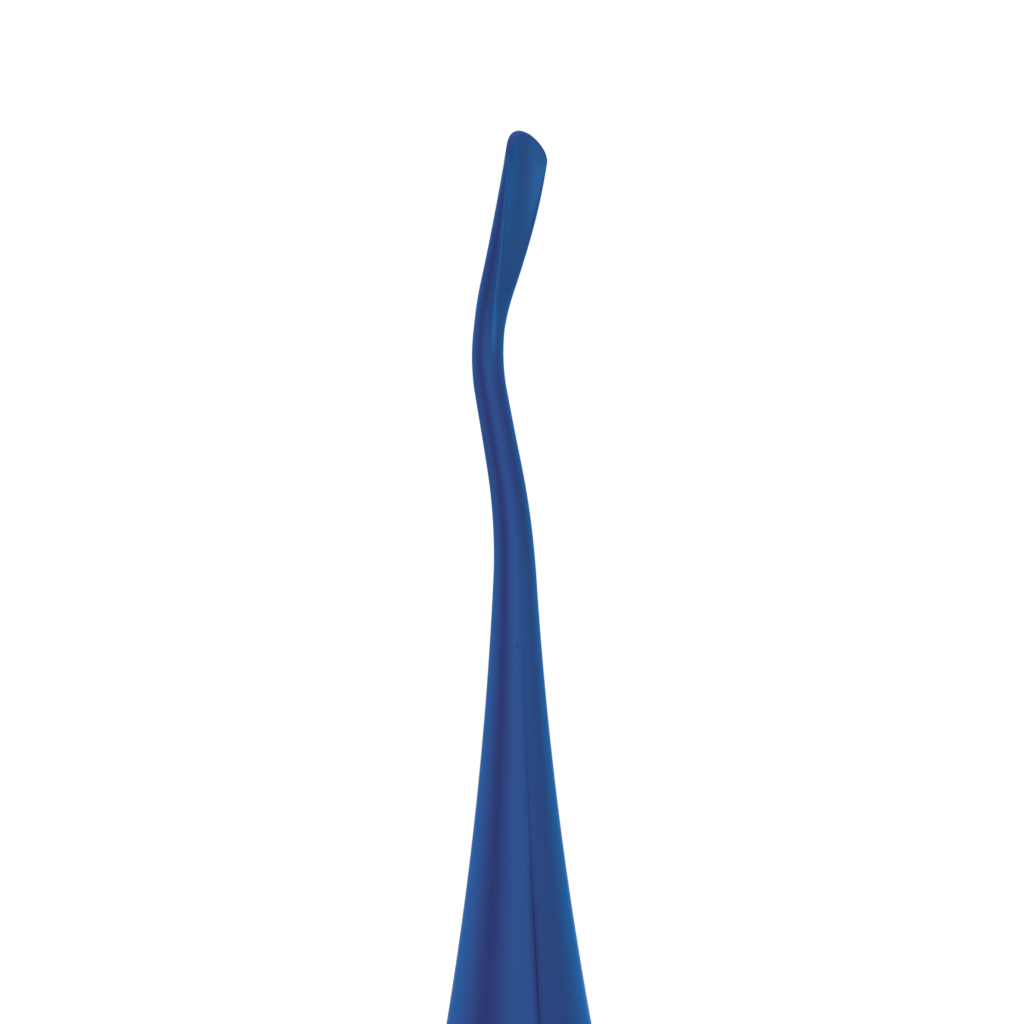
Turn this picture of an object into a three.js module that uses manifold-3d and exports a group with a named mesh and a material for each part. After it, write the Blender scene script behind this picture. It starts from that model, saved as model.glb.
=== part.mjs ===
// A dental elevator: a gouge-shaped working end on a double-bent shank, held in a hollow handle.
// Millimetres, +Z runs along the handle towards the cutting edge, and the origin is the centre of
// the flat butt face. Azimuths are measured about +Z, from -Y towards +X.
import * as THREE from 'three';
import { mergeVertices } from 'three/addons/utils/BufferGeometryUtils.js';
import Module from 'manifold-3d';

const wasm = await Module();
wasm.setup();

// Overall
const FACE_AZIMUTH = 45;          // degrees: the way the hollow of the gouge faces
const SEAM_AZIMUTH = 16.6;        // degrees: the handle's front seam
const ROUND_SEGMENTS = 36;

// Shank: two opposite bends in one plane
const NECK_RADIUS = 1.184;
const NECK_END = 132.7;           // the shank is slimmest from here to the second bend
const NECK_GROWTH = 0.00167;      // how fast the shank thickens below NECK_END
const BACK_BEND = { z: 121.52, slope: 0.242, length: 8.3 };
const FORWARD_BEND = { z: 134.86, slope: 0.46, length: 7.84 };

// Gouge
const HOLLOW_START = 134;
const HOLLOW_DEPTH = 0.98;        // below the rims, at the tip
const HOLLOW_POWER = 3;
const TIP_Z = 148.9;              // on the centreline; the back of the tip reaches a little higher
const TIP_LENGTH = 2.41;          // length of the rounded end of the outline
const TIP_FULLNESS = 2.07;        // 2 is an ellipse, more is squarer shoulders
const BACK_START = 135.63;        // the round back widens from here
const BACK_GROWTH = 0.0438;
const BACK_POWER = 1.34;
const RIM_START = 126.6;          // the face opens from here
const RIM_DROP = 2.426;           // how far the rims have come down at the tip
const RIM_POWER = 3.133;
const SHOULDER_ANGLE = 60;        // degrees past the middle that the round back can reach
const CORNER_BLEND = 0.24;        // radians over which rim and tip outline run together
const RIM_ROUNDING = 0.38;        // how broadly the rims are polished over on the blade
const EDGE_ROUNDING = 0.04;
const EDGE_THICKNESS = 0.04;
const BEVEL_SLOPE = 3.6;

// Tang and what holds it
const JOINT_Z = 113;              // the shank meets the handle's nose here
const TANG_END = 84;
const TANG_RADIUS = 1.25;
const COLLAR = { low: 87, high: 96.8, radius: 2.55 };
const CROSS_PIN = { z: 92, radius: 0.5, length: 4.8 };
const SLIDING_GAP = 0.05;

// Handle
const FLARE_TOP = 118.8;
const FLARE_SLOPE = 0.0502;
const FLARE_CURVE = 0.001826;
const FLARE_END = 80;
const GRIP_SWELL = { z: 66, radius: 7.45 };
const WAIST = { z: 43, radius: 6.65 };
const PALM_SWELL = { z: 19, radius: 7.7 };
const BUTT_JOINT = { z: 5, radius: 6.9, slope: 0.17 };
const WALL = 1.7;
const COLLAR_BORE = { low: 86.5, high: 97, radius: 2.6 };
const CAVITY_TOP = 78;
const PLUG_SEAT = { high: 14, radius: 5.6 };
const SEAM_GAP = 0.06;

// Rings in the handle's grooves
const GRIP_RING_TOP = 78;
const GRIP_RING_PITCH = 6;
const GRIP_RING_COUNT = 5;
const CODE_RING_Z = 10;
const GROOVE_WIDTH = 2.6;
const GROOVE_DEPTH = 0.75;
const RING_WIDTH = 2.4;
const RING_CROWN = 0.25;

// Discs that keep the two shells in line
const DISC_FRONT_Z = 57;
const DISC_REAR_Z = 27;
const DISC_THICKNESS = 1.6;
const DISC_SEAT_DEPTH = 0.4;
const DISC_HOLE_RADIUS = 1.6;

// Butt
const CAP_FLAT_RADIUS = 5;
const CAP_TOP = 4.4;
const CAP_SPIGOT = { high: 5.4, radius: 5.5 };
const CAP_STUD = { high: 12.5, radius: 2.4 };
const PLUG = { low: 5.6, high: 13.5, radius: 5.5 };
const SEAL = { low: 4.45, high: 4.95, inner: 5.6, outer: 6.72 };

const radians = THREE.MathUtils.degToRad;
const FACE = new THREE.Vector3(Math.sin(radians(FACE_AZIMUTH)), -Math.cos(radians(FACE_AZIMUTH)), 0);
const SIDE = new THREE.Vector3(0, 0, 1).cross(FACE);

// ---------- solids ----------

function bareGeometry(geometry) {
  const bare = geometry.index ? geometry.clone() : mergeVertices(geometry);
  bare.deleteAttribute('normal');
  bare.deleteAttribute('uv');
  const merged = mergeVertices(bare, 1e-5);
  return dropFlatTriangles(merged);
}

// Merging the ends of a lathe or a cap leaves triangles with two corners in one place.
function dropFlatTriangles(geometry) {
  const index = geometry.index.array;
  const kept = [];
  for (let i = 0; i < index.length; i += 3) {
    const [a, b, c] = [index[i], index[i + 1], index[i + 2]];
    if (a !== b && b !== c && c !== a) {
      kept.push(a, b, c);
    }
  }
  geometry.setIndex(kept);
  if (signedVolume(geometry) < 0) {
    geometry.setIndex(kept.reverse());
  }
  return geometry;
}

function signedVolume(geometry) {
  const position = geometry.attributes.position;
  const index = geometry.index.array;
  const corner = [new THREE.Vector3(), new THREE.Vector3(), new THREE.Vector3()];
  let sum = 0;
  for (let i = 0; i < index.length; i += 3) {
    corner.forEach((point, k) => point.fromBufferAttribute(position, index[i + k]));
    sum += corner[0].dot(corner[1].cross(corner[2])) / 6;
  }
  return sum;
}

function toManifold(geometry) {
  const bare = bareGeometry(geometry);
  return new wasm.Manifold(new wasm.Mesh({
    numProp: 3,
    vertProperties: new Float32Array(bare.attributes.position.array),
    triVerts: new Uint32Array(bare.index.array),
  }));
}

function fromManifold(solid) {
  const mesh = solid.getMesh();
  const geometry = new THREE.BufferGeometry();
  geometry.setAttribute('position', new THREE.BufferAttribute(mesh.vertProperties, 3));
  geometry.setIndex(new THREE.BufferAttribute(mesh.triVerts, 1));
  return geometry;
}

// A profile of [radius, z] points turned about +Z, closed back to its first point if it is off axis.
function turned(profile) {
  const points = profile.map(([r, z]) => new THREE.Vector2(r, z));
  const onAxis = profile[0][0] === 0 && profile[profile.length - 1][0] === 0;
  if (!onAxis) {
    points.push(points[0].clone());
  }
  const lathe = new THREE.LatheGeometry(points, ROUND_SEGMENTS, radians(SEAM_AZIMUTH));
  return bareGeometry(lathe.rotateX(Math.PI / 2));
}

// A straight round bar lying along SIDE, centred on the axis at height z.
function crossBar(radius, length, z) {
  const bar = new THREE.CylinderGeometry(radius, radius, length, 12);
  bar.applyQuaternion(new THREE.Quaternion().setFromUnitVectors(new THREE.Vector3(0, 1, 0), SIDE));
  return bar.translate(0, 0, z);
}

// ---------- curves ----------

function clamp01(t) {
  return Math.min(Math.max(t, 0), 1);
}

function smoothstep(low, high, z) {
  const t = clamp01((z - low) / (high - low));
  return t * t * (3 - 2 * t);
}

function smoothMin(a, b, width) {
  const t = clamp01(0.5 + (b - a) / (2 * width));
  return b + (a - b) * t - width * t * (1 - t);
}

// Zero below the bend and t above it, joined by a parabola as long as the bend.
function bendRamp(t, length) {
  if (t < -length / 2) {
    return 0;
  }
  return t > length / 2 ? t : (t + length / 2) ** 2 / (2 * length);
}

// How far the centreline stands off the handle's axis, along FACE.
function centreOffset(z) {
  const back = bendRamp(z - BACK_BEND.z, BACK_BEND.length);
  const forward = bendRamp(z - FORWARD_BEND.z, FORWARD_BEND.length);
  return (BACK_BEND.slope + FORWARD_BEND.slope) * forward - BACK_BEND.slope * back;
}

function flareRadius(z) {
  const t = FLARE_TOP - z;
  const top = NECK_RADIUS + NECK_GROWTH * (NECK_END - FLARE_TOP) ** 2;
  return top + FLARE_SLOPE * t + FLARE_CURVE * t * t;
}

function neckRadius(z) {
  return NECK_RADIUS + NECK_GROWTH * Math.max(NECK_END - z, 0) ** 2;
}

// Radius of the round back of the shank and gouge, about the centreline.
function backRadius(z) {
  if (z < FLARE_TOP) {
    return flareRadius(z);
  }
  return neckRadius(z) + BACK_GROWTH * Math.max(z - BACK_START, 0) ** BACK_POWER;
}

// Height of the face's rims over the centreline: the shank's own top until the face opens.
function rimHeight(z) {
  if (z < RIM_START) {
    return backRadius(z);
  }
  return neckRadius(z) - RIM_DROP * ((z - RIM_START) / (TIP_Z - RIM_START)) ** RIM_POWER;
}

function hollowDepth(z) {
  return HOLLOW_DEPTH * clamp01((z - HOLLOW_START) / (TIP_Z - HOLLOW_START)) ** HOLLOW_POWER;
}

// How softly the section's corners are polished over: broad on the blade, fine at the edge.
function rounding(z) {
  const onBlade = 0.05 + (RIM_ROUNDING - 0.05) * smoothstep(128, 138, z);
  return onBlade + (EDGE_ROUNDING - onBlade) * smoothstep(146.5, TIP_Z, z);
}

// Cubic between two knots of { z, radius, slope }.
function knotRadius(a, b, z) {
  const span = b.z - a.z;
  const t = (z - a.z) / span;
  const slopeA = (a.slope ?? 0) * span;
  const slopeB = (b.slope ?? 0) * span;
  return (2 * t ** 3 - 3 * t ** 2 + 1) * a.radius + (t ** 3 - 2 * t ** 2 + t) * slopeA
    + (3 * t ** 2 - 2 * t ** 3) * b.radius + (t ** 3 - t ** 2) * slopeB;
}

function handleRadius(z) {
  if (z >= FLARE_END) {
    return flareRadius(z);
  }
  const flareSlope = -FLARE_SLOPE - 2 * FLARE_CURVE * (FLARE_TOP - FLARE_END);
  const flareKnot = { z: FLARE_END, radius: flareRadius(FLARE_END), slope: flareSlope };
  const knots = [BUTT_JOINT, PALM_SWELL, WAIST, GRIP_SWELL, flareKnot];
  const high = knots.findIndex((knot) => knot.z >= z);
  return high < 1 ? BUTT_JOINT.radius : knotRadius(knots[high - 1], knots[high], z);
}

// ---------- working end ----------

const SECTION_SEGMENTS = 48;
const BACK_SHARE = 30 / SECTION_SEGMENTS;

// Half the angle the round back spans: past the middle on the shank, closing at the tip.
function backHalfAngle(z) {
  const rimAngle = Math.asin(THREE.MathUtils.clamp(rimHeight(z) / backRadius(z), -1, 1));
  const toRim = Math.PI / 2 + Math.min(rimAngle, radians(SHOULDER_ANGLE));
  const d = clamp01((TIP_Z - z) / TIP_LENGTH);
  if (d >= 1) {
    return toRim;
  }
  const outline = Math.asin((1 - (1 - d) ** 2) ** (1 / TIP_FULLNESS));
  return Math.min(outline, smoothMin(toRim, outline, CORNER_BLEND));
}

// Greatest thickness the bevel leaves at this distance from the centre plane.
function bevelThickness(u, z) {
  const d = (TIP_Z - z) / TIP_LENGTH;
  const across = (Math.abs(u) / backRadius(z)) ** TIP_FULLNESS;
  const inside = 1 - Math.sqrt(across + Math.max(1 - d, 0) ** 2);
  return EDGE_THICKNESS + BEVEL_SLOPE * Math.max(inside, 0) * TIP_LENGTH + 3 * Math.max(d - 0.6, 0) ** 2;
}

function faceHeight(u, z) {
  const radius = backRadius(z);
  const rim = rimHeight(z);
  const halfWidth = Math.sqrt(Math.max(radius ** 2 - rim ** 2, 0.01));
  const hollow = rim - hollowDepth(z) * (1 - Math.min(Math.abs(u) / halfWidth, 1) ** 2);
  const circle = Math.sqrt(Math.max(radius ** 2 - u ** 2, 0));
  return Math.min(hollow, circle, bevelThickness(u, z) - circle);
}

// A point of the sharp-cornered cross-section: t runs once round it, from one rim round the back to
// the other rim and then across the hollow face. Returns [along SIDE, along the face's normal].
function sharpSection(z, t) {
  const radius = backRadius(z);
  const half = backHalfAngle(z);
  const turn = ((t % 1) + 1) % 1;
  if (turn <= BACK_SHARE) {
    const angle = half * (1 - 2 * turn / BACK_SHARE);
    return [radius * Math.sin(angle), -radius * Math.cos(angle)];
  }
  const u = radius * Math.sin(half) * (2 * (turn - BACK_SHARE) / (1 - BACK_SHARE) - 1);
  return [u, faceHeight(u, z)];
}

// The same point with the corners polished over: a bell-weighted mean of its neighbourhood.
function bladeSection(z, t) {
  const spread = rounding(z) / (2 * Math.PI * backRadius(z));
  const mean = [0, 0];
  let total = 0;
  for (let k = -8; k <= 8; k += 1) {
    const share = Math.exp(-((k / 4) ** 2) / 2);
    const [u, h] = sharpSection(z, t + spread * k / 4);
    mean[0] += share * u;
    mean[1] += share * h;
    total += share;
  }
  return [mean[0] / total, mean[1] / total];
}

function tangSection(radius, t) {
  const half = radians(90 + SHOULDER_ANGLE);
  const round = t <= BACK_SHARE
    ? half * (1 - 2 * t / BACK_SHARE)
    : -half - (t - BACK_SHARE) / (1 - BACK_SHARE) * (2 * Math.PI - 2 * half);
  return [radius * Math.sin(round), -radius * Math.cos(round)];
}

// Section point to space, with the section square to the bent centreline.
function placeSection([u, h], z) {
  const step = 1e-3;
  const slope = (centreOffset(z + step) - centreOffset(z - step)) / (2 * step);
  const normal = FACE.clone().addScaledVector(new THREE.Vector3(0, 0, 1), -slope).normalize();
  return new THREE.Vector3(0, 0, z)
    .addScaledVector(FACE, centreOffset(z))
    .addScaledVector(SIDE, u)
    .addScaledVector(normal, h);
}

function bladeStations() {
  const stations = [];
  for (let z = JOINT_Z; z < 118; z += 2) {
    stations.push(z);
  }
  for (let z = 118; z < HOLLOW_START; z += 1) {
    stations.push(z);
  }
  const tipStart = TIP_Z - TIP_LENGTH;
  const gougeSteps = 18;
  for (let i = 0; i < gougeSteps; i += 1) {
    stations.push(HOLLOW_START + (tipStart - HOLLOW_START) * i / gougeSteps);
  }
  const tipSteps = 13;
  for (let i = 0; i < tipSteps; i += 1) {
    stations.push(tipStart + TIP_LENGTH * Math.sin(0.475 * Math.PI * i / (tipSteps - 1)));
  }
  return stations;
}

// The tang, shank and gouge are one forging: a cylinder whose rings are moved onto the sections.
function workingEndGeometry() {
  const tang = [
    { z: TANG_END, radius: TANG_RADIUS - 0.35 },
    { z: TANG_END + 0.35, radius: TANG_RADIUS },
    { z: JOINT_Z, radius: TANG_RADIUS },
  ];
  const rings = [...tang, ...bladeStations().map((z) => ({ z }))];
  const body = new THREE.CylinderGeometry(1, 1, 1, SECTION_SEGMENTS, rings.length - 1);
  const position = body.attributes.position;
  for (let i = 0; i < position.count; i += 1) {
    const across = Math.hypot(position.getX(i), position.getZ(i));
    const ring = rings[Math.round((position.getY(i) + 0.5) * (rings.length - 1))];
    const turn = Math.atan2(position.getX(i), position.getZ(i)) / (2 * Math.PI);
    const t = Math.round(((turn + 1) % 1) * SECTION_SEGMENTS) / SECTION_SEGMENTS % 1;
    const section = (at) => (ring.radius ? tangSection(ring.radius, at) : bladeSection(ring.z, at));
    let point = placeSection(section(t), ring.z);
    if (across < 0.5) {
      const low = placeSection(section(BACK_SHARE / 2), ring.z);
      const high = placeSection(section((1 + BACK_SHARE) / 2), ring.z);
      point = low.add(high).multiplyScalar(0.5);
    }
    position.setXYZ(i, point.x, point.y, point.z);
  }
  const pinHole = crossBar(CROSS_PIN.radius + SLIDING_GAP, 8, CROSS_PIN.z);
  return fromManifold(toManifold(body).subtract(toManifold(pinHole)));
}

// ---------- handle ----------

function ringHeights() {
  const heights = [];
  for (let i = 0; i < GRIP_RING_COUNT; i += 1) {
    heights.push(GRIP_RING_TOP - GRIP_RING_PITCH * i);
  }
  return heights;
}

// Outline of the shell's outside from the nose down to the butt, with the ring grooves.
function outerOutline() {
  const heights = [];
  for (let z = JOINT_Z; z > FLARE_END; z -= 3) {
    heights.push(z);
  }
  heights.push(50, 46, 42, 38, 34, 30, 26, 22, 18, 14, BUTT_JOINT.z);
  const grooves = [...ringHeights(), CODE_RING_Z];
  const edge = GROOVE_WIDTH / 2;
  const outline = heights.map((z) => [handleRadius(z), z]);
  for (const z of grooves) {
    const floor = handleRadius(z) - GROOVE_DEPTH;
    outline.push([handleRadius(z + edge), z + edge], [floor, z + edge]);
    outline.push([floor, z - edge], [handleRadius(z - edge), z - edge]);
  }
  return outline
    .map((point, order) => ({ point, order }))
    .sort((a, b) => b.point[1] - a.point[1] || a.order - b.order)
    .map(({ point }) => point);
}

function cavityRadius(z) {
  return handleRadius(z) - WALL;
}

// Outline of the shell's inside from the butt up to the nose.
function innerOutline() {
  const outline = [[PLUG_SEAT.radius, BUTT_JOINT.z], [PLUG_SEAT.radius, PLUG_SEAT.high]];
  const seatHalf = DISC_THICKNESS / 2 + SLIDING_GAP;
  for (let z = PLUG_SEAT.high; z <= CAVITY_TOP; z += 8) {
    outline.push([cavityRadius(z), z]);
    const disc = [DISC_REAR_Z, DISC_FRONT_Z].find((at) => at > z && at < z + 8);
    if (disc) {
      const inside = cavityRadius(disc);
      outline.push([inside, disc - seatHalf], [inside + DISC_SEAT_DEPTH, disc - seatHalf]);
      outline.push([inside + DISC_SEAT_DEPTH, disc + seatHalf], [inside, disc + seatHalf]);
    }
  }
  outline.push([COLLAR_BORE.radius, COLLAR_BORE.low], [COLLAR_BORE.radius, COLLAR_BORE.high]);
  outline.push([TANG_RADIUS + SLIDING_GAP, COLLAR_BORE.high], [TANG_RADIUS + SLIDING_GAP, JOINT_Z]);
  return outline;
}

// Everything on one side of the seam plane; side is 1 or -1.
function seamHalfSpace(side) {
  const half = new THREE.BoxGeometry(40, 40, 260);
  half.translate(side * (20 + SEAM_GAP / 2), 0, 60);
  return half.rotateZ(radians(SEAM_AZIMUTH));
}

function shellGeometry(side) {
  const whole = toManifold(turned([...outerOutline(), ...innerOutline()]));
  return fromManifold(whole.intersect(toManifold(seamHalfSpace(side))));
}

function gripRingGeometry(z) {
  const floor = handleRadius(z) - GROOVE_DEPTH + SLIDING_GAP;
  const half = RING_WIDTH / 2;
  const shoulder = handleRadius(z) - 0.15;
  const crown = handleRadius(z) + RING_CROWN;
  return turned([
    [floor, z - half],
    [shoulder, z - half],
    [crown - 0.1, z - half + 0.45],
    [crown, z],
    [crown - 0.1, z + half - 0.45],
    [shoulder, z + half],
    [floor, z + half],
  ]);
}

function discGeometry(z) {
  const radius = cavityRadius(z) + DISC_SEAT_DEPTH - SLIDING_GAP;
  const half = DISC_THICKNESS / 2;
  return turned([
    [DISC_HOLE_RADIUS, z - half],
    [radius, z - half],
    [radius, z + half],
    [DISC_HOLE_RADIUS, z + half],
  ]);
}

function collarGeometry() {
  const bore = TANG_RADIUS + SLIDING_GAP;
  const sleeve = turned([
    [bore, COLLAR.low],
    [COLLAR.radius - 0.3, COLLAR.low],
    [COLLAR.radius, COLLAR.low + 0.3],
    [COLLAR.radius, COLLAR.high],
    [bore, COLLAR.high],
  ]);
  const pinHole = crossBar(CROSS_PIN.radius + SLIDING_GAP, 8, CROSS_PIN.z);
  return fromManifold(toManifold(sleeve).subtract(toManifold(pinHole)));
}

function crossPinGeometry() {
  return bareGeometry(crossBar(CROSS_PIN.radius, CROSS_PIN.length, CROSS_PIN.z));
}

// ---------- butt ----------

function buttCapGeometry() {
  const rim = BUTT_JOINT.radius - 0.02;
  const corner = rim - CAP_FLAT_RADIUS;
  const profile = [[0, 0]];
  const steps = 5;
  for (let i = 0; i <= steps; i += 1) {
    const angle = Math.PI / 2 * i / steps;
    profile.push([CAP_FLAT_RADIUS + corner * Math.sin(angle), 3.2 * (1 - Math.cos(angle))]);
  }
  profile.push([rim, CAP_TOP], [CAP_SPIGOT.radius, CAP_TOP], [CAP_SPIGOT.radius, CAP_SPIGOT.high]);
  profile.push([CAP_STUD.radius, CAP_SPIGOT.high], [CAP_STUD.radius, CAP_STUD.high - 0.5]);
  profile.push([CAP_STUD.radius - 0.5, CAP_STUD.high], [0, CAP_STUD.high]);
  return turned(profile);
}

function buttPlugGeometry() {
  const bore = CAP_STUD.radius + SLIDING_GAP;
  return turned([
    [bore, PLUG.low],
    [PLUG.radius, PLUG.low],
    [PLUG.radius, PLUG.high - 0.4],
    [PLUG.radius - 0.4, PLUG.high],
    [bore, PLUG.high],
  ]);
}

function sealGeometry() {
  const middle = (SEAL.low + SEAL.high) / 2;
  return turned([
    [SEAL.inner, SEAL.low],
    [SEAL.outer - 0.12, SEAL.low],
    [SEAL.outer, middle],
    [SEAL.outer - 0.12, SEAL.high],
    [SEAL.inner, SEAL.high],
  ]);
}

// ---------- materials ----------

function coatedSteel() {
  return new THREE.MeshStandardMaterial({ color: 0x2b5592, roughness: 0.34, metalness: 0.9 });
}

function bareSteel() {
  return new THREE.MeshStandardMaterial({ color: 0xb4b8bc, roughness: 0.3, metalness: 1 });
}

function silicone() {
  return new THREE.MeshStandardMaterial({ color: 0x14305c, roughness: 0.75, metalness: 0 });
}

// ---------- assembly ----------

function named(name, geometry, material) {
  const mesh = new THREE.Mesh(geometry, material);
  mesh.name = name;
  return mesh;
}

function workingEnd() {
  const group = new THREE.Group();
  group.add(named('working_end', workingEndGeometry(), coatedSteel()));
  group.add(named('tang_collar', collarGeometry(), bareSteel()));
  group.add(named('tang_cross_pin', crossPinGeometry(), bareSteel()));
  return group;
}

function handle() {
  const group = new THREE.Group();
  group.add(named('handle_shell_left', shellGeometry(-1), coatedSteel()));
  group.add(named('handle_shell_right', shellGeometry(1), coatedSteel()));
  group.add(named('alignment_disc_front', discGeometry(DISC_FRONT_Z), bareSteel()));
  group.add(named('alignment_disc_rear', discGeometry(DISC_REAR_Z), bareSteel()));
  ringHeights().forEach((z, i) => {
    group.add(named(`grip_ring_${i + 1}`, gripRingGeometry(z), silicone()));
  });
  group.add(named('code_ring', gripRingGeometry(CODE_RING_Z), silicone()));
  return group;
}

function butt() {
  const group = new THREE.Group();
  group.add(named('butt_plug', buttPlugGeometry(), bareSteel()));
  group.add(named('butt_cap', buttCapGeometry(), coatedSteel()));
  group.add(named('butt_seal_ring', sealGeometry(), silicone()));
  return group;
}

const elevator = new THREE.Group();
elevator.add(workingEnd(), handle(), butt());

export default elevator;
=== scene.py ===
import math

import bpy
import numpy as np
from mathutils import Matrix, Vector

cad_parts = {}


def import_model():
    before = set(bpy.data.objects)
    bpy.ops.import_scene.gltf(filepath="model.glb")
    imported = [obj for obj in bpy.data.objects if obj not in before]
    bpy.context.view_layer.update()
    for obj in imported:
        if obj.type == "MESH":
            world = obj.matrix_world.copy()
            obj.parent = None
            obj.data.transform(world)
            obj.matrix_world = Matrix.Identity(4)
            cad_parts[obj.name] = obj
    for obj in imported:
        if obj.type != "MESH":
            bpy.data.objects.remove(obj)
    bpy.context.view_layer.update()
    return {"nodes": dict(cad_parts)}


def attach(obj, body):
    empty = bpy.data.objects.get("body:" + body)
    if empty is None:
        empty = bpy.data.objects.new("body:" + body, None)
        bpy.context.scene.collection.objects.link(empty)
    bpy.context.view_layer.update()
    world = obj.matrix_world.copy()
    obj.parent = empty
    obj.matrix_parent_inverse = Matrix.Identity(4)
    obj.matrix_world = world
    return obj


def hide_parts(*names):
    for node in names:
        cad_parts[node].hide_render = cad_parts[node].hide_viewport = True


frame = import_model()

# A dental elevator standing on its butt, +Z towards the cutting edge. Lengths in this script are
# millimetres until a mesh is made. Azimuths run about +Z from -Y towards +X.
MM = 0.001
FACE_AZIMUTH = math.radians(45)
SEAM_AZIMUTH = math.radians(16.6)
FACE = np.array([math.sin(FACE_AZIMUTH), -math.cos(FACE_AZIMUTH), 0.0])
SIDE = np.array([math.cos(FACE_AZIMUTH), math.sin(FACE_AZIMUTH), 0.0])
UP = np.array([0.0, 0.0, 1.0])

# Shank and its two bends, each as (height of its middle, slope after it, length)
NECK_RADIUS = 1.184
NECK_END = 132.7
NECK_GROWTH = 0.00167
BACK_BEND = (121.52, 0.242, 8.3)
FORWARD_BEND = (134.86, 0.46, 7.84)

# Gouge
HOLLOW_START = 134.0
HOLLOW_DEPTH = 0.98
HOLLOW_POWER = 3.0
TIP_Z = 148.9
TIP_LENGTH = 2.41
TIP_FULLNESS = 2.07
BACK_START = 135.63
BACK_GROWTH = 0.0438
BACK_POWER = 1.34
RIM_START = 126.6
RIM_DROP = 2.426
RIM_POWER = 3.133
SHOULDER_ANGLE = math.radians(60)
CORNER_BLEND = 0.24
SHANK_ROUNDING = 0.05
RIM_ROUNDING = 0.38
EDGE_ROUNDING = 0.04
EDGE_THICKNESS = 0.04
BEVEL_SLOPE = 3.6

# Handle; swells and waist as (height, radius)
JOINT_Z = 113.0
TANG_RADIUS = 1.25
FLARE_TOP = 118.8
FLARE_SLOPE = 0.0502
FLARE_CURVE = 0.001826
FLARE_END = 80.0
BUTT_Z = 5.0
BUTT_RADIUS = 6.9
BUTT_SLOPE = 0.17
PALM_SWELL = (19.0, 7.7)
WAIST = (43.0, 6.65)
GRIP_SWELL = (66.0, 7.45)

# Inside the handle
WALL = 1.7
THINNEST_WALL = 0.35
TANG_END = 84.0
TANG_CHAMFER = 0.5
TANG_GAP = 0.05
COLLAR_BORE_RADIUS = 2.6
COLLAR_BORE_LOW = 86.5
COLLAR_BORE_HIGH = 97.0
CAVITY_TOP = 78.0
PLUG_SEAT_RADIUS = 5.6
PLUG_SEAT_HIGH = 14.0
SEAM_GAP = 0.003
SEAM_ROUNDING_NOSE = 0.008
SEAM_ROUNDING_GAIN = 0.03

# Rings
GRIP_RINGS = [78.0 - 6.0 * i for i in range(5)]
CODE_RING = 10.0
GROOVE_WIDTH = 2.6
GROOVE_DEPTH = 0.75
GROOVE_LIP = 0.16
GROOVE_CORNER = 0.12
RING_WIDTH = 2.4
RING_CROWN = 0.25
RING_SHOULDER = 0.42
RING_CHAMFER = 0.08

# Butt cap and its seal
CAP_FLAT_RADIUS = 5.0
CAP_BULGE = 3.2
CAP_TOP = 4.4
CAP_EDGE = 0.16
CAP_SPIGOT_RADIUS = 5.5
CAP_SPIGOT_HIGH = 5.4
CAP_STUD_RADIUS = 2.4
CAP_STUD_HIGH = 12.5
SEAL_INNER = 5.6
SEAL_OUTER = 6.5
SEAL_THICKNESS = 0.25
SEAL_Z = 4.7


# ---------- curves ----------

# Heights z run along the handle's axis; t is a distance or a fraction along a curve.

def clamp01(t):
    return min(max(t, 0.0), 1.0)


def smoothstep(low, high, z):
    t = clamp01((z - low) / (high - low))
    return t * t * (3 - 2 * t)


def smooth_min(a, b, width):
    """The smaller of two values, blended where they differ by less than the width."""
    t = clamp01(0.5 + (b - a) / (2 * width))
    return b + (a - b) * t - width * t * (1 - t)


def bend_ramp(t, length):
    """Sideways travel of a unit-slope bend whose slope grows evenly over its length."""
    if t < -length / 2:
        return 0.0
    return t if t > length / 2 else (t + length / 2) ** 2 / (2 * length)


def bend_slope(t, length):
    return clamp01((t + length / 2) / length)


def centre_offset(z):
    """How far the centreline lies from the handle's axis, towards the face."""
    back = bend_ramp(z - BACK_BEND[0], BACK_BEND[2])
    forward = bend_ramp(z - FORWARD_BEND[0], FORWARD_BEND[2])
    return (BACK_BEND[1] + FORWARD_BEND[1]) * forward - BACK_BEND[1] * back


def centre_slope(z):
    back = bend_slope(z - BACK_BEND[0], BACK_BEND[2])
    forward = bend_slope(z - FORWARD_BEND[0], FORWARD_BEND[2])
    return (BACK_BEND[1] + FORWARD_BEND[1]) * forward - BACK_BEND[1] * back


def flare_radius(z):
    t = FLARE_TOP - z
    top = NECK_RADIUS + NECK_GROWTH * (NECK_END - FLARE_TOP) ** 2
    return top + FLARE_SLOPE * t + FLARE_CURVE * t * t


def neck_radius(z):
    return NECK_RADIUS + NECK_GROWTH * max(NECK_END - z, 0.0) ** 2


def back_radius(z):
    if z < FLARE_TOP:
        return flare_radius(z)
    return neck_radius(z) + BACK_GROWTH * max(z - BACK_START, 0.0) ** BACK_POWER


def rim_height(z):
    """Height of the face's rims over the centreline: the shank's own top until the face opens."""
    if z < RIM_START:
        return back_radius(z)
    return neck_radius(z) - RIM_DROP * ((z - RIM_START) / (TIP_Z - RIM_START)) ** RIM_POWER


def hollow_depth(z):
    return HOLLOW_DEPTH * clamp01((z - HOLLOW_START) / (TIP_Z - HOLLOW_START)) ** HOLLOW_POWER


def rounding(z):
    """How softly the section's corners are polished over: broad on the blade, fine at the edge."""
    on_blade = SHANK_ROUNDING + (RIM_ROUNDING - SHANK_ROUNDING) * smoothstep(128, 138, z)
    return on_blade + (EDGE_ROUNDING - on_blade) * smoothstep(146.5, TIP_Z, z)


def knot_radius(a, b, z):
    """Cubic between two knots of (z, radius, slope)."""
    span = b[0] - a[0]
    t = (z - a[0]) / span
    return ((2 * t ** 3 - 3 * t ** 2 + 1) * a[1] + (t ** 3 - 2 * t ** 2 + t) * a[2] * span
            + (3 * t ** 2 - 2 * t ** 3) * b[1] + (t ** 3 - t ** 2) * b[2] * span)


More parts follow.
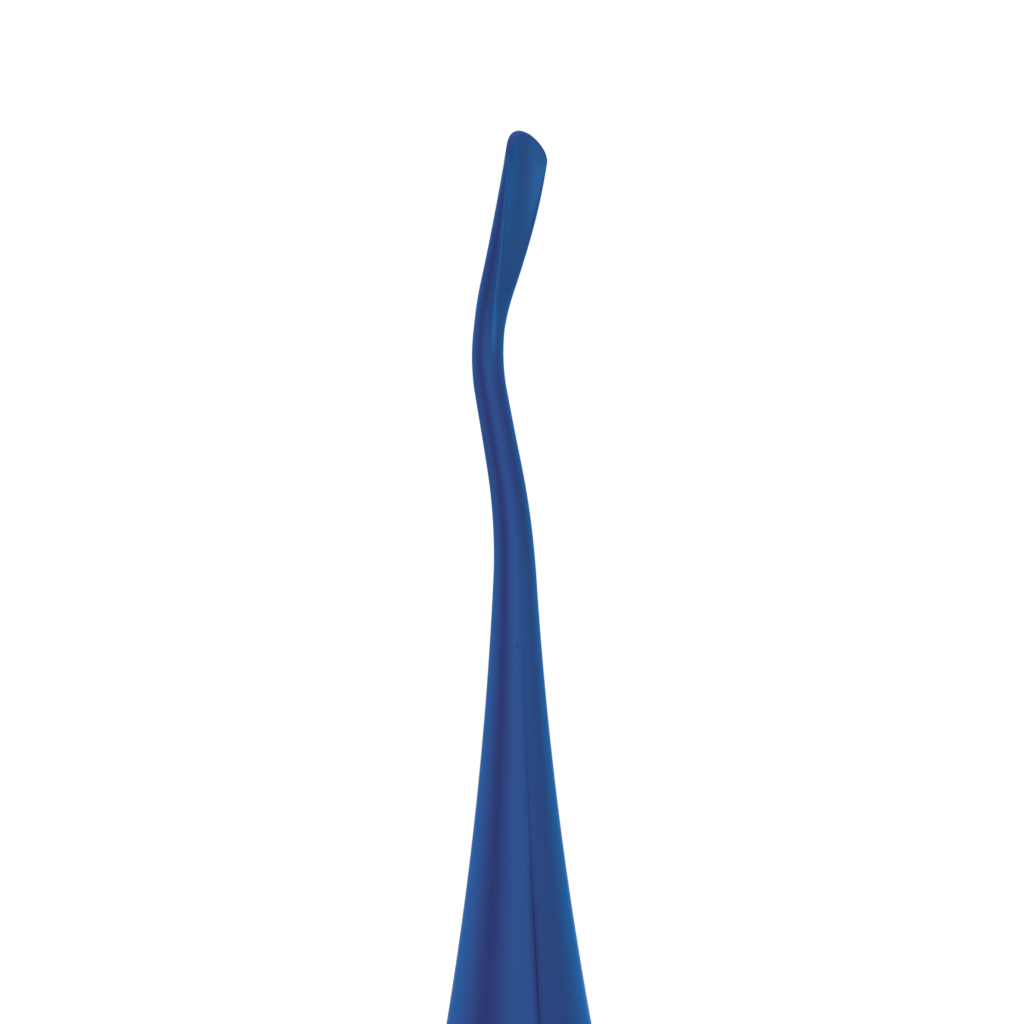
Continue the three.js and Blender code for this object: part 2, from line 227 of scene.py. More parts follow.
def handle_radius(z):
    """Outer radius of the handle: the flare, then a cubic through the swells and the waist."""
    if z >= FLARE_END:
        return flare_radius(z)
    flare_slope = -FLARE_SLOPE - 2 * FLARE_CURVE * (FLARE_TOP - FLARE_END)
    knots = [
        (BUTT_Z, BUTT_RADIUS, BUTT_SLOPE),
        (*PALM_SWELL, 0.0),
        (*WAIST, 0.0),
        (*GRIP_SWELL, 0.0),
        (FLARE_END, flare_radius(FLARE_END), flare_slope),
    ]
    for low, high in zip(knots, knots[1:]):
        if z <= high[0]:
            return knot_radius(low, high, max(z, BUTT_Z))
    return knots[-1][1]


# ---------- mesh helpers ----------

TURNED_POINTS = 160
TURNED_CREASE = 50


def make_object(name, points, faces, material, crease=None):
    """A smooth-shaded piece from points in millimetres, creased where faces meet at a larger angle."""
    mesh = bpy.data.meshes.new(name)
    mesh.from_pydata((np.asarray(points) * MM).tolist(), [], faces)
    mesh.materials.append(material)
    mesh.validate()
    mesh.update()
    mesh.shade_smooth()
    if crease:
        mesh.set_sharp_from_angle(angle=math.radians(crease))
    piece = bpy.data.objects.new(name, mesh)
    bpy.context.scene.collection.objects.link(piece)
    return piece


def strip_faces(rings, around):
    """Quads between successive closed rings of the same length."""
    faces = []
    for i in range(rings - 1):
        for j in range(around):
            k = (j + 1) % around
            faces.append((i * around + j, i * around + k, (i + 1) * around + k, (i + 1) * around + j))
    return faces


def turned_points(profile):
    """Profile rows of (radius, z), turned about +Z."""
    turn = SEAM_AZIMUTH + np.arange(TURNED_POINTS) * 2 * math.pi / TURNED_POINTS
    ring = np.stack([np.sin(turn), -np.cos(turn)], 1)
    rows = [np.column_stack([ring * r, np.full(TURNED_POINTS, z)]) for r, z in profile]
    return np.concatenate(rows)


def turned_closed(name, profile, material):
    """A ring whose profile closes on itself."""
    around = TURNED_POINTS
    n = len(profile)
    faces = []
    for i in range(n):
        for j in range(around):
            a, b = i * around, ((i + 1) % n) * around
            k = (j + 1) % around
            faces.append((a + j, b + j, b + k, a + k))
    return make_object(name, turned_points(profile), faces, material, TURNED_CREASE)


def turned_capped(name, profile, material):
    """A solid whose profile starts and ends on the axis, from low z to high z."""
    around = TURNED_POINTS
    points = turned_points(profile[1:-1])
    n = len(profile) - 2
    faces = strip_faces(n, around)
    low, high = len(points), len(points) + 1
    points = np.vstack([points, [[0, 0, profile[0][1]]], [[0, 0, profile[-1][1]]]])
    for j in range(around):
        k = (j + 1) % around
        faces.append((low, k, j))
        faces.append((high, (n - 1) * around + j, (n - 1) * around + k))
    return make_object(name, points, faces, material, TURNED_CREASE)


def arc(centre, radius, start, end, steps):
    """Points of a circular arc in (radius, z), angles in degrees from +radius towards +z."""
    angles = np.radians(np.linspace(start, end, steps + 1))
    return [(centre[0] + radius * math.cos(a), centre[1] + radius * math.sin(a)) for a in angles]


# ---------- working end ----------

BACK_POINTS = 104
FACE_POINTS = 84
TRACE_POINTS = 500
DENSE = 1400
WORKING_END_CREASE = 60


def half_angle(z):
    """Half the angle the round back spans: past the middle on the shank, closing at the tip."""
    shoulder = min(math.asin(max(-1.0, min(1.0, rim_height(z) / back_radius(z)))), SHOULDER_ANGLE)
    d = clamp01((TIP_Z - z) / TIP_LENGTH)
    if d >= 1:
        return math.pi / 2 + shoulder
    outline = math.asin((1 - (1 - d) ** 2) ** (1 / TIP_FULLNESS))
    return min(outline, smooth_min(math.pi / 2 + shoulder, outline, CORNER_BLEND))


def face_height(u, z):
    """Face over the centreline, u off its middle: the hollow, cut by a ground bevel near the edge."""
    radius = back_radius(z)
    rim = rim_height(z)
    half_width = math.sqrt(max(radius ** 2 - rim ** 2, 0.01))
    hollow = rim - hollow_depth(z) * (1 - np.minimum(np.abs(u) / half_width, 1) ** 2)
    circle = np.sqrt(np.maximum(radius ** 2 - u ** 2, 0))
    d = (TIP_Z - z) / TIP_LENGTH
    across = (np.abs(u) / radius) ** TIP_FULLNESS
    from_edge = np.maximum(1 - np.sqrt(across + max(1 - d, 0.0) ** 2), 0)
    bevel = EDGE_THICKNESS + BEVEL_SLOPE * from_edge * TIP_LENGTH + 3 * max(d - 0.6, 0.0) ** 2
    return np.minimum(np.minimum(hollow, circle), bevel - circle)


def crowded_to_ends(count):
    """Fractions from 0 up to 1, closer together at both ends."""
    t = np.linspace(0, 1, count, endpoint=False)
    return 0.6 * (0.5 - 0.5 * np.cos(t * math.pi)) + 0.4 * t


def section(z):
    """Closed cross-section in (SIDE, face normal): round back, rims softened, hollow face."""
    radius = back_radius(z)
    half = half_angle(z)
    turn = np.linspace(half, -half, TRACE_POINTS)
    back = np.column_stack([radius * np.sin(turn), -radius * np.cos(turn)])
    reach = radius * math.sin(half)
    u = reach * np.sin(np.linspace(-1, 1, TRACE_POINTS) * math.pi / 2)
    face = np.column_stack([u, face_height(u, z)])
    face[0], face[-1] = back[-1], back[0]
    outline = np.vstack([back, face[1:]])
    steps = np.hypot(*np.diff(outline, axis=0).T)
    length = np.concatenate([[0], np.cumsum(steps)])
    total = length[-1]
    left = length[len(back) - 1]
    even = np.arange(DENSE) * total / DENSE
    dense = np.column_stack([np.interp(even, length, outline[:, k]) for k in (0, 1)])
    waves = np.fft.rfftfreq(DENSE, total / DENSE)
    blur = np.exp(-2 * (math.pi * waves * rounding(z)) ** 2)
    soft = np.column_stack([np.fft.irfft(np.fft.rfft(dense[:, k]) * blur, DENSE) for k in (0, 1)])
    at = np.concatenate([
        left * crowded_to_ends(BACK_POINTS),
        left + (total - left) * crowded_to_ends(FACE_POINTS),
    ])
    return np.column_stack([np.interp(at, even, soft[:, k], period=total) for k in (0, 1)])


def place_section(points, z):
    """A section's points in space, square to the bent centreline."""
    normal = FACE - centre_slope(z) * UP
    normal = normal / np.linalg.norm(normal)
    centre = UP * z + FACE * centre_offset(z)
    return centre + np.outer(points[:, 0], SIDE) + np.outer(points[:, 1], normal)


def blade_stations():
    """Heights of the sections, crowding towards the tip."""
    shank = np.arange(JOINT_Z - 0.1, 130, 0.5)
    bend = np.arange(130, 145, 0.2)
    tip_start = TIP_Z - TIP_LENGTH
    gouge = np.arange(145, tip_start, 0.12)
    tip = tip_start + TIP_LENGTH * np.sin(np.linspace(0, 0.485 * math.pi, 46))
    return np.concatenate([shank, bend, gouge, tip])


def working_end(material):
    """Tang, shank and gouge as one skin of stacked sections."""
    rings = []
    round_section = section(JOINT_Z)
    scale = TANG_RADIUS / back_radius(JOINT_Z)
    rings.append(place_section(round_section * scale * 0.8, TANG_END))
    rings.append(place_section(round_section * scale, TANG_END + TANG_CHAMFER))
    rings.append(place_section(round_section * scale, JOINT_Z - 0.12))
    for z in blade_stations():
        rings.append(place_section(section(z), z))
    around = BACK_POINTS + FACE_POINTS
    faces = strip_faces(len(rings), around)
    faces.append(tuple(reversed(range(around))))
    last = (len(rings) - 1) * around
    faces.append(tuple(range(last, last + around)))
    # sections run clockwise seen from the tip, so every face is turned over
    faces = [tuple(reversed(face)) for face in faces]
    return make_object("working_end_body", np.concatenate(rings), faces, material, WORKING_END_CREASE)


# ---------- handle shells ----------

ARC_POINTS = 92
SEAM_POINTS = 7
FLARE_STEP = 0.8
GRIP_STEP = 0.5
SHELL_CREASE = 38


def groove_profile(z):
    """Outline of one ring groove from its upper lip to its lower lip, corners rounded."""
    half = GROOVE_WIDTH / 2
    lip, corner = GROOVE_LIP, GROOVE_CORNER
    top, low = handle_radius(z + half), handle_radius(z - half)
    floor = handle_radius(z) - GROOVE_DEPTH
    points = arc((top - lip, z + half + lip), lip, 0, -88, 6)
    points += arc((floor + corner, z + half - corner + 0.005), corner, 92, 180, 4)
    points += arc((floor + corner, z - half + corner - 0.005), corner, 180, 268, 4)
    points += arc((low - lip, z - half - lip), lip, 88, 0, 6)
    return points


def shell_profile():
    """Outer outline from the nose down to the butt joint."""
    grooves = sorted(GRIP_RINGS + [CODE_RING], reverse=True)
    clear = GROOVE_WIDTH / 2 + 0.3
    profile = []
    z = JOINT_Z
    for groove in grooves:
        while z > groove + clear:
            profile.append((handle_radius(z), z))
            z -= FLARE_STEP if z > 83 else GRIP_STEP
        profile.append((handle_radius(groove + clear - 0.1), groove + clear - 0.1))
        profile += groove_profile(groove)
        z = groove - clear
    while z > BUTT_Z + 0.4:
        profile.append((handle_radius(z), z))
        z -= GRIP_STEP
    edge = 0.14
    return profile + arc((handle_radius(BUTT_Z) - edge, BUTT_Z + edge), edge, 0, -85, 5)


def cavity_radius(z):
    """Inner radius: tight round the tang, a bore for its collar, then an even wall."""
    if z > COLLAR_BORE_HIGH:
        return TANG_RADIUS + TANG_GAP
    if z > COLLAR_BORE_LOW:
        return COLLAR_BORE_RADIUS
    if z > CAVITY_TOP:
        widened = handle_radius(CAVITY_TOP) - WALL - COLLAR_BORE_RADIUS
        return COLLAR_BORE_RADIUS + widened * (COLLAR_BORE_LOW - z) / (COLLAR_BORE_LOW - CAVITY_TOP)
    return PLUG_SEAT_RADIUS if z < PLUG_SEAT_HIGH else handle_radius(z) - WALL


def seam_rounding(z):
    """Radius of the shells' softened seam edges: polished away at the nose, fuller below."""
    radius = SEAM_ROUNDING_NOSE + SEAM_ROUNDING_GAIN * smoothstep(JOINT_Z, 90, z)
    unevenness = 0.16 * math.sin(z * 1.9) * math.sin(z * 0.53 + 1.0)
    return radius * (1 + unevenness)


def shell(name, side, material):
    """One half of the handle, from the front seam round to the back seam."""
    rings = []
    for radius, z in shell_profile():
        soft = seam_rounding(z)
        t = np.linspace(0, math.pi / 2, SEAM_POINTS)
        from_seam = SEAM_GAP + soft * (1 - np.cos(t))
        drop = soft * (1 - np.sin(t))
        edge = from_seam / radius
        middle = np.linspace(edge[-1], math.pi - edge[-1], ARC_POINTS)[1:-1]
        turn = np.concatenate([edge, middle, math.pi - edge[::-1]])
        outer = radius - np.concatenate([drop, np.zeros(len(middle)), drop[::-1]])
        azimuth = SEAM_AZIMUTH + side * turn
        inner = np.full(len(turn), min(cavity_radius(z), radius - THINNEST_WALL))
        radii = np.concatenate([outer, inner[::-1]])
        azimuths = np.concatenate([azimuth, azimuth[::-1]])
        x, y = radii * np.sin(azimuths), -radii * np.cos(azimuths)
        rings.append(np.column_stack([x, y, np.full(len(radii), z)]))
    around = len(rings[0])
    half = around // 2
    faces = strip_faces(len(rings), around)
    last = (len(rings) - 1) * around
    for j in range(half - 1):
        faces.append((j + 1, j, around - 1 - j, around - 2 - j))
        faces.append((last + j, last + j + 1, last + around - 2 - j, last + around - 1 - j))
    if side > 0:
        faces = [tuple(reversed(face)) for face in faces]
    return make_object(name, np.concatenate(rings), faces, material, SHELL_CREASE)


# ---------- rings, butt ----------

def grip_ring(name, z, material):
    """Soft ring seated in its groove, with round shoulders and a slight crown."""
    floor = handle_radius(z) - GROOVE_DEPTH + 0.04
    half = RING_WIDTH / 2
    crown = handle_radius(z) + RING_CROWN
    side = RING_SHOULDER
    profile = [(floor, z - half + RING_CHAMFER), (floor + RING_CHAMFER, z - half)]
    profile += arc((crown - side, z - half + side), side, -90, -12, 9)
    profile += [(crown, z - 0.3), (crown + 0.012, z), (crown, z + 0.3)]
    profile += arc((crown - side, z + half - side), side, 12, 90, 9)
    profile += [(floor + RING_CHAMFER, z + half), (floor, z + half - RING_CHAMFER)]
    return turned_closed(name, profile, material)


def butt_cap(material):
    """Rounded cap with a flat end, a spigot inside the shells and a stud for the plug."""
    rim = BUTT_RADIUS - 0.02
    flat = CAP_FLAT_RADIUS
    profile = [(0, 0.0), (flat * 0.5, 0.0), (flat - 0.3, 0.0)]
    for angle in np.radians(np.linspace(0, 90, 22)):
        profile.append((flat + (rim - flat) * math.sin(angle), CAP_BULGE * (1 - math.cos(angle))))
    profile += [(rim + 0.004, 3.6), (rim + 0.006, 3.95)]
    profile += arc((rim - CAP_EDGE, CAP_TOP - CAP_EDGE), CAP_EDGE, 0, 90, 6)
    profile += [(CAP_SPIGOT_RADIUS, CAP_TOP), (CAP_SPIGOT_RADIUS, CAP_SPIGOT_HIGH)]
    profile += [(CAP_STUD_RADIUS, CAP_SPIGOT_HIGH), (CAP_STUD_RADIUS, CAP_STUD_HIGH - 0.5)]
    profile += [(CAP_STUD_RADIUS - 0.5, CAP_STUD_HIGH), (0, CAP_STUD_HIGH)]
    return turned_capped("butt_cap_body", profile, material)


def butt_seal(material):
    """Thin round-edged seal between the cap and the shells."""
    low, high = SEAL_Z - SEAL_THICKNESS, SEAL_Z + SEAL_THICKNESS
    profile = [(SEAL_INNER, low), (SEAL_OUTER - 0.05, low)]
    profile += arc((SEAL_OUTER, SEAL_Z), SEAL_THICKNESS, -90, 90, 10)
    profile += [(SEAL_OUTER - 0.05, high), (SEAL_INNER, high)]
    return turned_closed("butt_seal_ring_body", profile, material)


# ---------- materials ----------

class Nodes:
    """Small helper for building a node tree by hand."""

    def __init__(self, owner):
        owner.use_nodes = True
        self.owner = owner
        self.tree = owner.node_tree
        self.tree.nodes.clear()

    def add(self, kind, values=None, **settings):
        """A node with its settings, and its inputs linked to sockets or set to values."""
        node = self.tree.nodes.new(kind)
        for key, value in settings.items():
            setattr(node, key, value)
        for key, value in (values or {}).items():
            if isinstance(value, bpy.types.NodeSocket):
                self.tree.links.new(value, node.inputs[key])
            else:
                node.inputs[key].default_value = value
        return node

    def math(self, operation, a, b=0.0):
        node = self.add("ShaderNodeMath", {0: a, 1: b}, operation=operation)
        return node.outputs[0]

    def scale_offset(self, value, low, high):
        node = self.add("ShaderNodeMapRange", {"Value": value, "To Min": low, "To Max": high})
        return node.outputs[0]

    def ease(self, value, start, end, level=1.0, base=0.0):
        """Smooth step from base at the start to level at the end."""
        values = {"Value": value, "From Min": start, "From Max": end, "To Min": base, "To Max": level}
        return self.add("ShaderNodeMapRange", values, interpolation_type="SMOOTHSTEP").outputs[0]

    def object_space(self):
        return self.add("ShaderNodeTexCoord").outputs["Object"]

    def height(self, where):
        return self.add("ShaderNodeSeparateXYZ", {0: where}).outputs[2]

    def noise(self, vector, scale, detail=3.0, roughness=0.5):
        values = {"Vector": vector, "Scale": scale, "Detail": detail, "Roughness": roughness}
        return self.add("ShaderNodeTexNoise", values).outputs["Fac"]

    def mix_colour(self, factor, a, b, blend="MIX"):
        node = self.add("ShaderNodeMix", {0: factor, 6: a, 7: b}, data_type="RGBA", blend_type=blend)
        return node.outputs[2]


# Heights and widths inside the materials are in metres
SEAM_SHADE_WIDTH = 0.00026


def painted_seam_shade(n, where):
    """Painted shade along the shells' seam: the share of reflection taken away there, none at the
    nose, a soft patchy line lower down.
    """
    x, y, z = n.add("ShaderNodeSeparateXYZ", {0: where}).outputs
    across = n.math("ADD", n.math("MULTIPLY", x, math.cos(SEAM_AZIMUTH)),
                    n.math("MULTIPLY", y, math.sin(SEAM_AZIMUTH)))
    spread = n.math("POWER", n.math("DIVIDE", across, SEAM_SHADE_WIDTH), 2.0)
    # painted shade: a soft dark line centred on the seam plane
    line = n.math("EXPONENT", n.math("MULTIPLY", spread, -1.0))
    upper = n.ease(z, 0.113, 0.104, 0.12)
    lower = n.ease(z, 0.100, 0.092, 0.44)
    patchy = n.scale_offset(n.noise(where, 1500.0, 3.0, 0.75), 0.45, 1.55)
    return n.math("MULTIPLY", n.math("MULTIPLY", line, n.math("ADD", upper, lower)), patchy)


def sparse_marks(n, where, scale, size, share):
    """Soft round marks in a small share of the cells of a random lattice."""
    cells = n.add("ShaderNodeTexVoronoi", {"Vector": where, "Scale": scale}).outputs
    spot = n.ease(cells["Distance"], size, size * 0.45)
    pick = n.add("ShaderNodeSeparateColor", {0: cells["Color"]}).outputs[0]
    return n.math("MULTIPLY", spot, n.math("LESS_THAN", pick, share))


def handling_wear(n, where):
    """Hairline scratches and smudges where fingers rub: none above the grip rings."""
    handled = n.ease(n.height(where), 0.084, 0.070)
    hairlines = 0.0
    for tilt, scale in ((0.45, 3400.0), (-0.8, 4600.0), (1.25, 4000.0)):
        streaks = n.add("ShaderNodeMapping", {
            "Vector": where, "Rotation": (tilt, 0.4 * tilt, 0.0), "Scale": (1.0, 1.0, 28.0),
        }, vector_type="TEXTURE").outputs[0]
        hairlines = n.math("MAXIMUM", n.ease(n.noise(streaks, scale, 1.0), 0.71, 0.78), hairlines)
    smudge = n.ease(n.noise(where, 210.0, 5.0, 0.62), 0.50, 0.66)
    return n.math("MULTIPLY", hairlines, handled), n.math("MULTIPLY", smudge, handled)


def painted_back_shade(n, where):
    """Painted shade on the blade's back: the share of reflection taken away where the surface turns
    away from the face.
    """
    above_knee = n.ease(n.height(where), 0.1372, 0.1402)
    below_tip = n.ease(n.height(where), 0.1485, 0.1450)
    normal = n.add("ShaderNodeNewGeometry").outputs["Normal"]
    facing = n.add("ShaderNodeVectorMath", {0: normal, 1: tuple(FACE)}, operation="DOT_PRODUCT")
    # painted shade: darker the further the normal turns away from the face
    painted_shade_behind = n.ease(facing.outputs["Value"], 0.65, -0.40, 0.36)
    return n.math("MULTIPLY", painted_shade_behind, n.math("MULTIPLY", above_knee, below_tip))


DEEP_CYAN_BLUE = (0.009, 0.150, 0.362, 1)
PALER_CYAN_BLUE = (0.013, 0.166, 0.408, 1)
RUBBED_BLUE = (0.16, 0.30, 0.50, 1)
SCRATCHED_BLUE = (0.14, 0.30, 0.54, 1)
GRAZING_BLUE = (0.35, 0.62, 0.90, 1)
VIOLET_NAVY = (0.078, 0.055, 0.352, 1)


def coated_metal(name, seamed):
    """Satin blue coating on polished steel: deep violet-blue underneath, cyan-blue reflection."""
    n = Nodes(bpy.data.materials.new(name))
    where = n.object_space()
    along = n.add("ShaderNodeMapping", {"Vector": where, "Scale": (1.0, 1.0, 0.06)}).outputs[0]
    cloud = n.noise(where, 90.0, 3.0)
    smear = n.noise(where, 420.0, 4.0, 0.6)
    brushed = n.noise(along, 9000.0, 2.0, 0.6)
    grain = n.noise(where, 5200.0, 2.0, 0.6)
    pits = sparse_marks(n, where, 900.0, 0.10, 0.16)
    rubs = sparse_marks(n, where, 620.0, 0.10, 0.03)
    tint = n.mix_colour(n.scale_offset(cloud, 0.25, 0.75), DEEP_CYAN_BLUE, PALER_CYAN_BLUE)
    # Pits darken the tint, and so does painted shade: along the seam on the shells, on the blade's
    # back elsewhere
    lost = n.math("MULTIPLY", pits, 0.55)
    lost = n.math("MAXIMUM", lost, painted_seam_shade(n, where) if seamed else painted_back_shade(n, where))
    kept = n.math("SUBTRACT", 1.0, lost)
    tint = n.mix_colour(n.math("MULTIPLY", rubs, 0.5), tint, RUBBED_BLUE)
    tint = n.mix_colour(1.0, tint, kept, "MULTIPLY")
    polish = n.math("ADD", n.scale_offset(cloud, 0.20, 0.27), n.scale_offset(brushed, -0.02, 0.02))
    polish = n.math("ADD", polish, n.scale_offset(smear, -0.03, 0.03))
    polish = n.math("ADD", polish, n.math("MULTIPLY", n.math("ADD", pits, rubs), 0.2))
    hairlines, smudge = handling_wear(n, where)
    tint = n.mix_colour(n.math("MULTIPLY", hairlines, 0.35), tint, SCRATCHED_BLUE)
    polish = n.math("ADD", polish, n.math("MULTIPLY", hairlines, 0.12))
    polish = n.math("ADD", polish, n.math("MULTIPLY", smudge, 0.07))
    matted_blade = n.ease(n.height(where), 0.127, 0.139, 0.11)
    polish = n.math("ADD", polish, matted_blade)
    fine = n.math("ADD", n.math("MULTIPLY", brushed, 0.6), n.math("MULTIPLY", grain, 0.4))
    height = n.math("SUBTRACT", fine, n.math("MULTIPLY", n.math("MAXIMUM", pits, hairlines), 3.0))
    bump = n.add("ShaderNodeBump", {"Height": height, "Strength": 0.10, "Distance": 0.000004})
    metal = n.add("ShaderNodeBsdfPrincipled", {
        "Base Color": tint, "Metallic": 1.0, "Roughness": polish, "Normal": bump.outputs[0],
        "Specular Tint": GRAZING_BLUE,
    })
    body = n.add("ShaderNodeBsdfDiffuse", {"Color": VIOLET_NAVY, "Normal": bump.outputs[0]})
    mixed = n.add("ShaderNodeMixShader", {0: 0.30, 1: metal.outputs[0], 2: body.outputs[0]})
    n.add("ShaderNodeOutputMaterial", {"Surface": mixed.outputs[0]})
    return n.owner


def silicone():
    """Moulded navy silicone: fine matt grain, faint scuffs and a little paler dust."""
    n = Nodes(bpy.data.materials.new("navy_silicone"))
    where = n.object_space()
    cloud = n.noise(where, 160.0, 4.0)
    grain = n.noise(where, 9000.0, 2.0, 0.7)
    flat = n.add("ShaderNodeMapping", {"Vector": where, "Scale": (1.0, 1.0, 5.0)}).outputs[0]
    scuff = n.ease(n.noise(flat, 700.0, 5.0, 0.75), 0.54, 0.72)
    colour = n.mix_colour(cloud, (0.004, 0.015, 0.062, 1), (0.008, 0.028, 0.096, 1))
    colour = n.mix_colour(n.math("MULTIPLY", scuff, 0.6), colour, (0.045, 0.080, 0.165, 1))
    rough = n.math("ADD", n.scale_offset(grain, 0.46, 0.62), n.math("MULTIPLY", scuff, 0.12))
    relief = n.math("SUBTRACT", grain, n.math("MULTIPLY", scuff, 0.5))
    bump = n.add("ShaderNodeBump", {"Height": relief, "Strength": 0.3, "Distance": 0.00001})
    skin = n.add("ShaderNodeBsdfPrincipled", {
        "Base Color": colour, "Roughness": rough, "Normal": bump.outputs[0],
        "Specular IOR Level": 0.38, "Sheen Weight": 0.10, "Sheen Roughness": 0.4,
    })
    n.add("ShaderNodeOutputMaterial", {"Surface": skin.outputs[0]})
    return n.owner


def turned_steel():
    """Bare stainless steel with fine turning marks round the axis."""
    n = Nodes(bpy.data.materials.new("turned_steel"))
    where = n.object_space()
    lines = n.add("ShaderNodeMapping", {"Vector": where, "Scale": (0.02, 0.02, 1.0)}).outputs[0]
    tool = n.noise(lines, 14000.0, 2.0)
    cloud = n.noise(where, 300.0, 3.0)
    colour = n.mix_colour(cloud, (0.52, 0.53, 0.54, 1), (0.62, 0.63, 0.64, 1))
    rough = n.scale_offset(tool, 0.22, 0.40)
    bump = n.add("ShaderNodeBump", {"Height": tool, "Strength": 0.3, "Distance": 0.000008})
    metal = n.add("ShaderNodeBsdfPrincipled", {
        "Base Color": colour, "Metallic": 1.0, "Roughness": rough, "Normal": bump.outputs[0],
    })
    n.add("ShaderNodeOutputMaterial", {"Surface": metal.outputs[0]})
    return n.owner


# ---------- build ----------

INNER_PIECES = [
    "tang_collar", "tang_cross_pin", "alignment_disc_front", "alignment_disc_rear", "butt_plug",
]


def assemble():
    """Every visible piece rides on the body and replaces its CAD node; inner pieces only get steel."""
    blue = coated_metal("blue_coated_metal", False)
    blue_shell = coated_metal("blue_coated_shell", True)
    navy, steel = silicone(), turned_steel()
    built = [
        (working_end(blue), "working_end", "coated_metal"),
        (shell("handle_shell_left_body", -1, blue_shell), "handle_shell_left", "coated_metal"),
        (shell("handle_shell_right_body", 1, blue_shell), "handle_shell_right", "coated_metal"),
        (butt_cap(blue), "butt_cap", "coated_metal"),
        (butt_seal(navy), "butt_seal_ring", "ring_silicone"),
        (grip_ring("code_ring_body", CODE_RING, navy), "code_ring", "ring_silicone"),
    ]
    for i, z in enumerate(GRIP_RINGS):
        node = f"grip_ring_{i + 1}"
        built.append((grip_ring(node + "_body", z, navy), node, "ring_silicone"))
    for piece, node, slot in built:
        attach(piece, "root")
        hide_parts(node)
    for node in INNER_PIECES:
        mesh = frame["nodes"][node].data
        mesh.materials.clear()
        mesh.materials.append(steel)


# ---------- studio ----------

# Light levels of the tent by azimuth in degrees: above the horizon and below it
BRIGHTEST = 2.0
UPPER_TENT = [
    (-180, 0.90), (-147, 1.12), (-112, 0.66), (-84, 0.45), (-60, 0.10), (-42, 0.26),
    (-20, 0.56), (0, 0.76), (22, 0.60), (45, 0.45), (70, 0.40), (90, 0.43),
    (112, 0.66), (147, 1.12), (180, 0.90),
]
LOWER_TENT = [
    (-180, 0.80), (-160, 0.42), (-140, 0.50), (-122, 0.36), (-104, 0.26), (-88, 0.28), (-70, 0.27),
    (-54, 0.28), (-40, 0.48), (-24, 0.60), (-8, 0.56), (8, 0.42), (24, 0.46), (40, 0.76), (54, 1.45),
    (66, 1.30), (80, 0.47), (95, 0.40), (110, 0.76), (136, 1.15), (158, 1.15), (180, 0.80),
]
# Dimming towards the zenith and the nadir: height where it starts, where it ends, level left
DIMMING = [(0.12, 0.40, 0.78), (-0.25, -0.50, 0.72)]


def tent(n, share, levels):
    """A smooth band of light, as shares of the brightest level a colour ramp can hold."""
    node = n.add("ShaderNodeValToRGB", {0: share})
    ramp = node.color_ramp
    ramp.interpolation = "B_SPLINE"
    while len(ramp.elements) > 1:
        ramp.elements.remove(ramp.elements[-1])
    for i, (degrees, level) in enumerate(levels):
        position = (degrees + 180) / 360
        element = ramp.elements[0] if i == 0 else ramp.elements.new(position)
        element.position = position
        element.color = (*[level / BRIGHTEST] * 3, 1)
    return node.outputs[0]


def world():
    """Soft light tent: the reflections vary with direction, and the camera sees plain white."""
    sky = bpy.data.worlds.new("light_tent")
    bpy.context.scene.world = sky
    n = Nodes(sky)
    direction = n.add("ShaderNodeTexCoord").outputs["Generated"]
    x, y, z = n.add("ShaderNodeSeparateXYZ", {0: direction}).outputs
    azimuth = n.math("ARCTAN2", x, n.math("MULTIPLY", y, -1.0))
    turn = {"Value": azimuth, "From Min": -math.pi, "From Max": math.pi}
    share = n.add("ShaderNodeMapRange", turn).outputs[0]
    sunk = n.ease(z, 0.08, -0.13)
    glow = n.mix_colour(sunk, tent(n, share, UPPER_TENT), tent(n, share, LOWER_TENT))
    full = math.sqrt(BRIGHTEST)
    above, below = [n.ease(z, near, far, full * level, full) for near, far, level in DIMMING]
    seen = n.add("ShaderNodeLightPath").outputs["Is Camera Ray"]
    reflected = n.add("ShaderNodeBackground", {0: glow, 1: n.math("MULTIPLY", above, below)})
    plain = n.add("ShaderNodeBackground", {0: (1, 1, 1, 1)})
    mixed = n.add("ShaderNodeMixShader", {0: seen, 1: reflected.outputs[0], 2: plain.outputs[0]})
    n.add("ShaderNodeOutputWorld", {"Surface": mixed.outputs[0]})


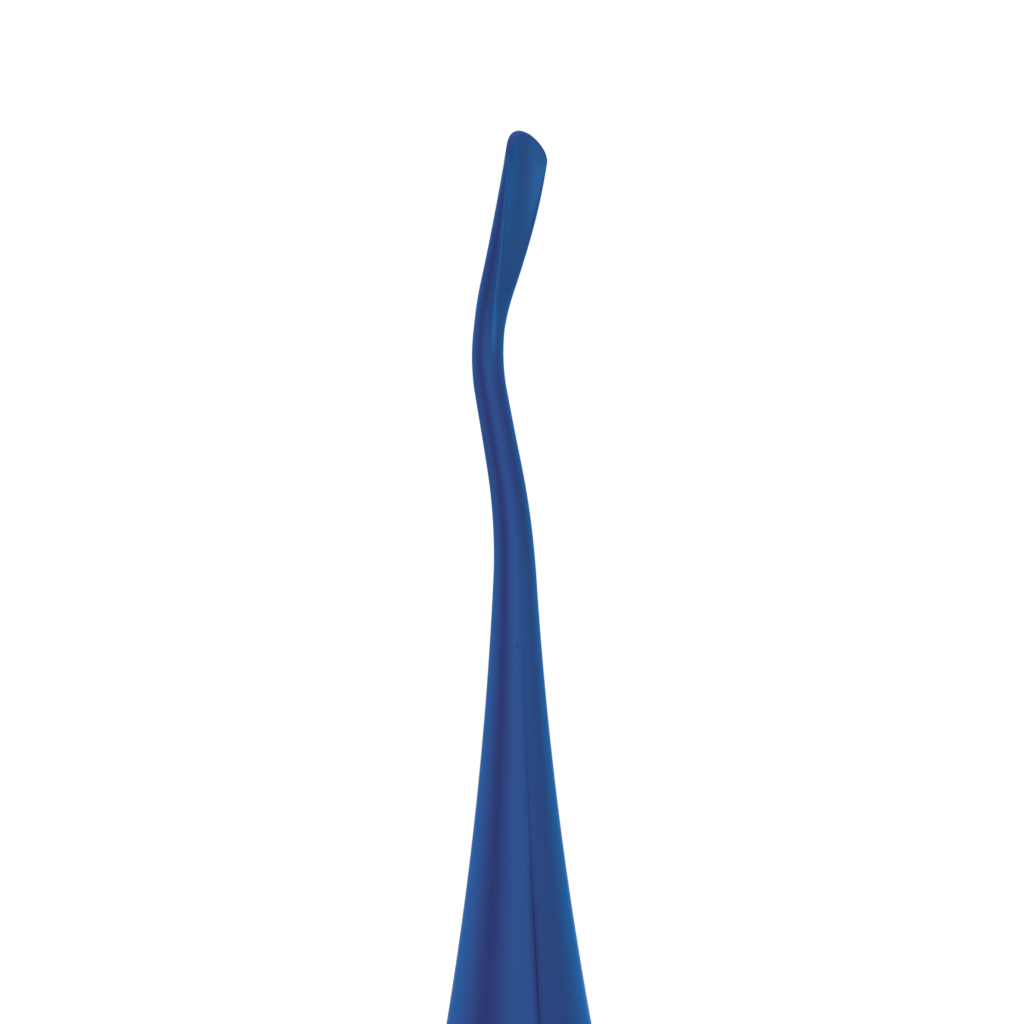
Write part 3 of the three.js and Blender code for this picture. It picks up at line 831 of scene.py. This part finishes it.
def floor():
    """A pale disc that fades into the white background."""
    radius, around = 600.0, 96
    turn = np.arange(around) * 2 * math.pi / around
    points = [(0, 0, 0)]
    faces = []
    rows = [8.0, 60.0, 200.0, radius]
    for r in rows:
        points += [(r * math.cos(a), r * math.sin(a), 0) for a in turn]
    for j in range(around):
        k = (j + 1) % around
        faces.append((0, 1 + j, 1 + k))
        for i in range(len(rows) - 1):
            a, b = 1 + i * around, 1 + (i + 1) * around
            faces.append((a + j, b + j, b + k, a + k))
    n = Nodes(bpy.data.materials.new("pale_floor"))
    away = n.add("ShaderNodeVectorMath", {0: n.object_space()}, operation="LENGTH").outputs["Value"]
    fade = n.ease(away, 0.10, 0.34)
    matt = n.add("ShaderNodeBsdfDiffuse", {"Color": (0.86, 0.86, 0.86, 1)})
    clear = n.add("ShaderNodeBsdfTransparent")
    mirrored = n.add("ShaderNodeLightPath").outputs["Is Glossy Ray"]
    gone = n.math("MAXIMUM", fade, mirrored)
    mixed = n.add("ShaderNodeMixShader", {0: gone, 1: matt.outputs[0], 2: clear.outputs[0]})
    n.add("ShaderNodeOutputMaterial", {"Surface": mixed.outputs[0]})
    disc = make_object("studio_floor", points, faces, n.owner)


LIGHT_TARGET = (0, 0, 0.08)


def area_light(name, location, size, power):
    """A round soft light aimed at the handle, kept out of the reflections."""
    data = bpy.data.lights.new(name, "AREA")
    data.shape = "DISK"
    data.size = size
    data.energy = power
    light = bpy.data.objects.new(name, data)
    light.location = location
    towards = Vector(LIGHT_TARGET) - Vector(location)
    light.rotation_mode = "QUATERNION"
    light.rotation_quaternion = towards.to_track_quat("-Z", "Y")
    light.visible_glossy = False
    light.visible_camera = False
    bpy.context.scene.collection.objects.link(light)


def camera():
    """Long lens, level, looking along +Y at the working end, turned half a degree about its axis."""
    data = bpy.data.cameras.new("camera")
    data.lens = 200
    data.sensor_width = 36
    width_in_view = 74.47
    distance = width_in_view * data.lens / data.sensor_width
    roll = math.radians(0.51)
    right = Vector((math.cos(roll), 0, -math.sin(roll)))
    up = Vector((math.sin(roll), 0, math.cos(roll)))
    back = Vector((0, -1, 0))
    place = Matrix((right, up, back)).transposed().to_4x4()
    place.translation = Vector((-0.17, -distance, 122.29)) * MM
    data.clip_start, data.clip_end = 0.01, 10
    eye = bpy.data.objects.new("camera", data)
    eye.matrix_world = place
    bpy.context.scene.collection.objects.link(eye)
    bpy.context.scene.camera = eye


assemble()
world()
floor()
area_light("top_softbox", (-0.25, -0.35, 0.75), 0.6, 6.0)
camera()
bpy.context.scene.view_settings.view_transform = "Standard"
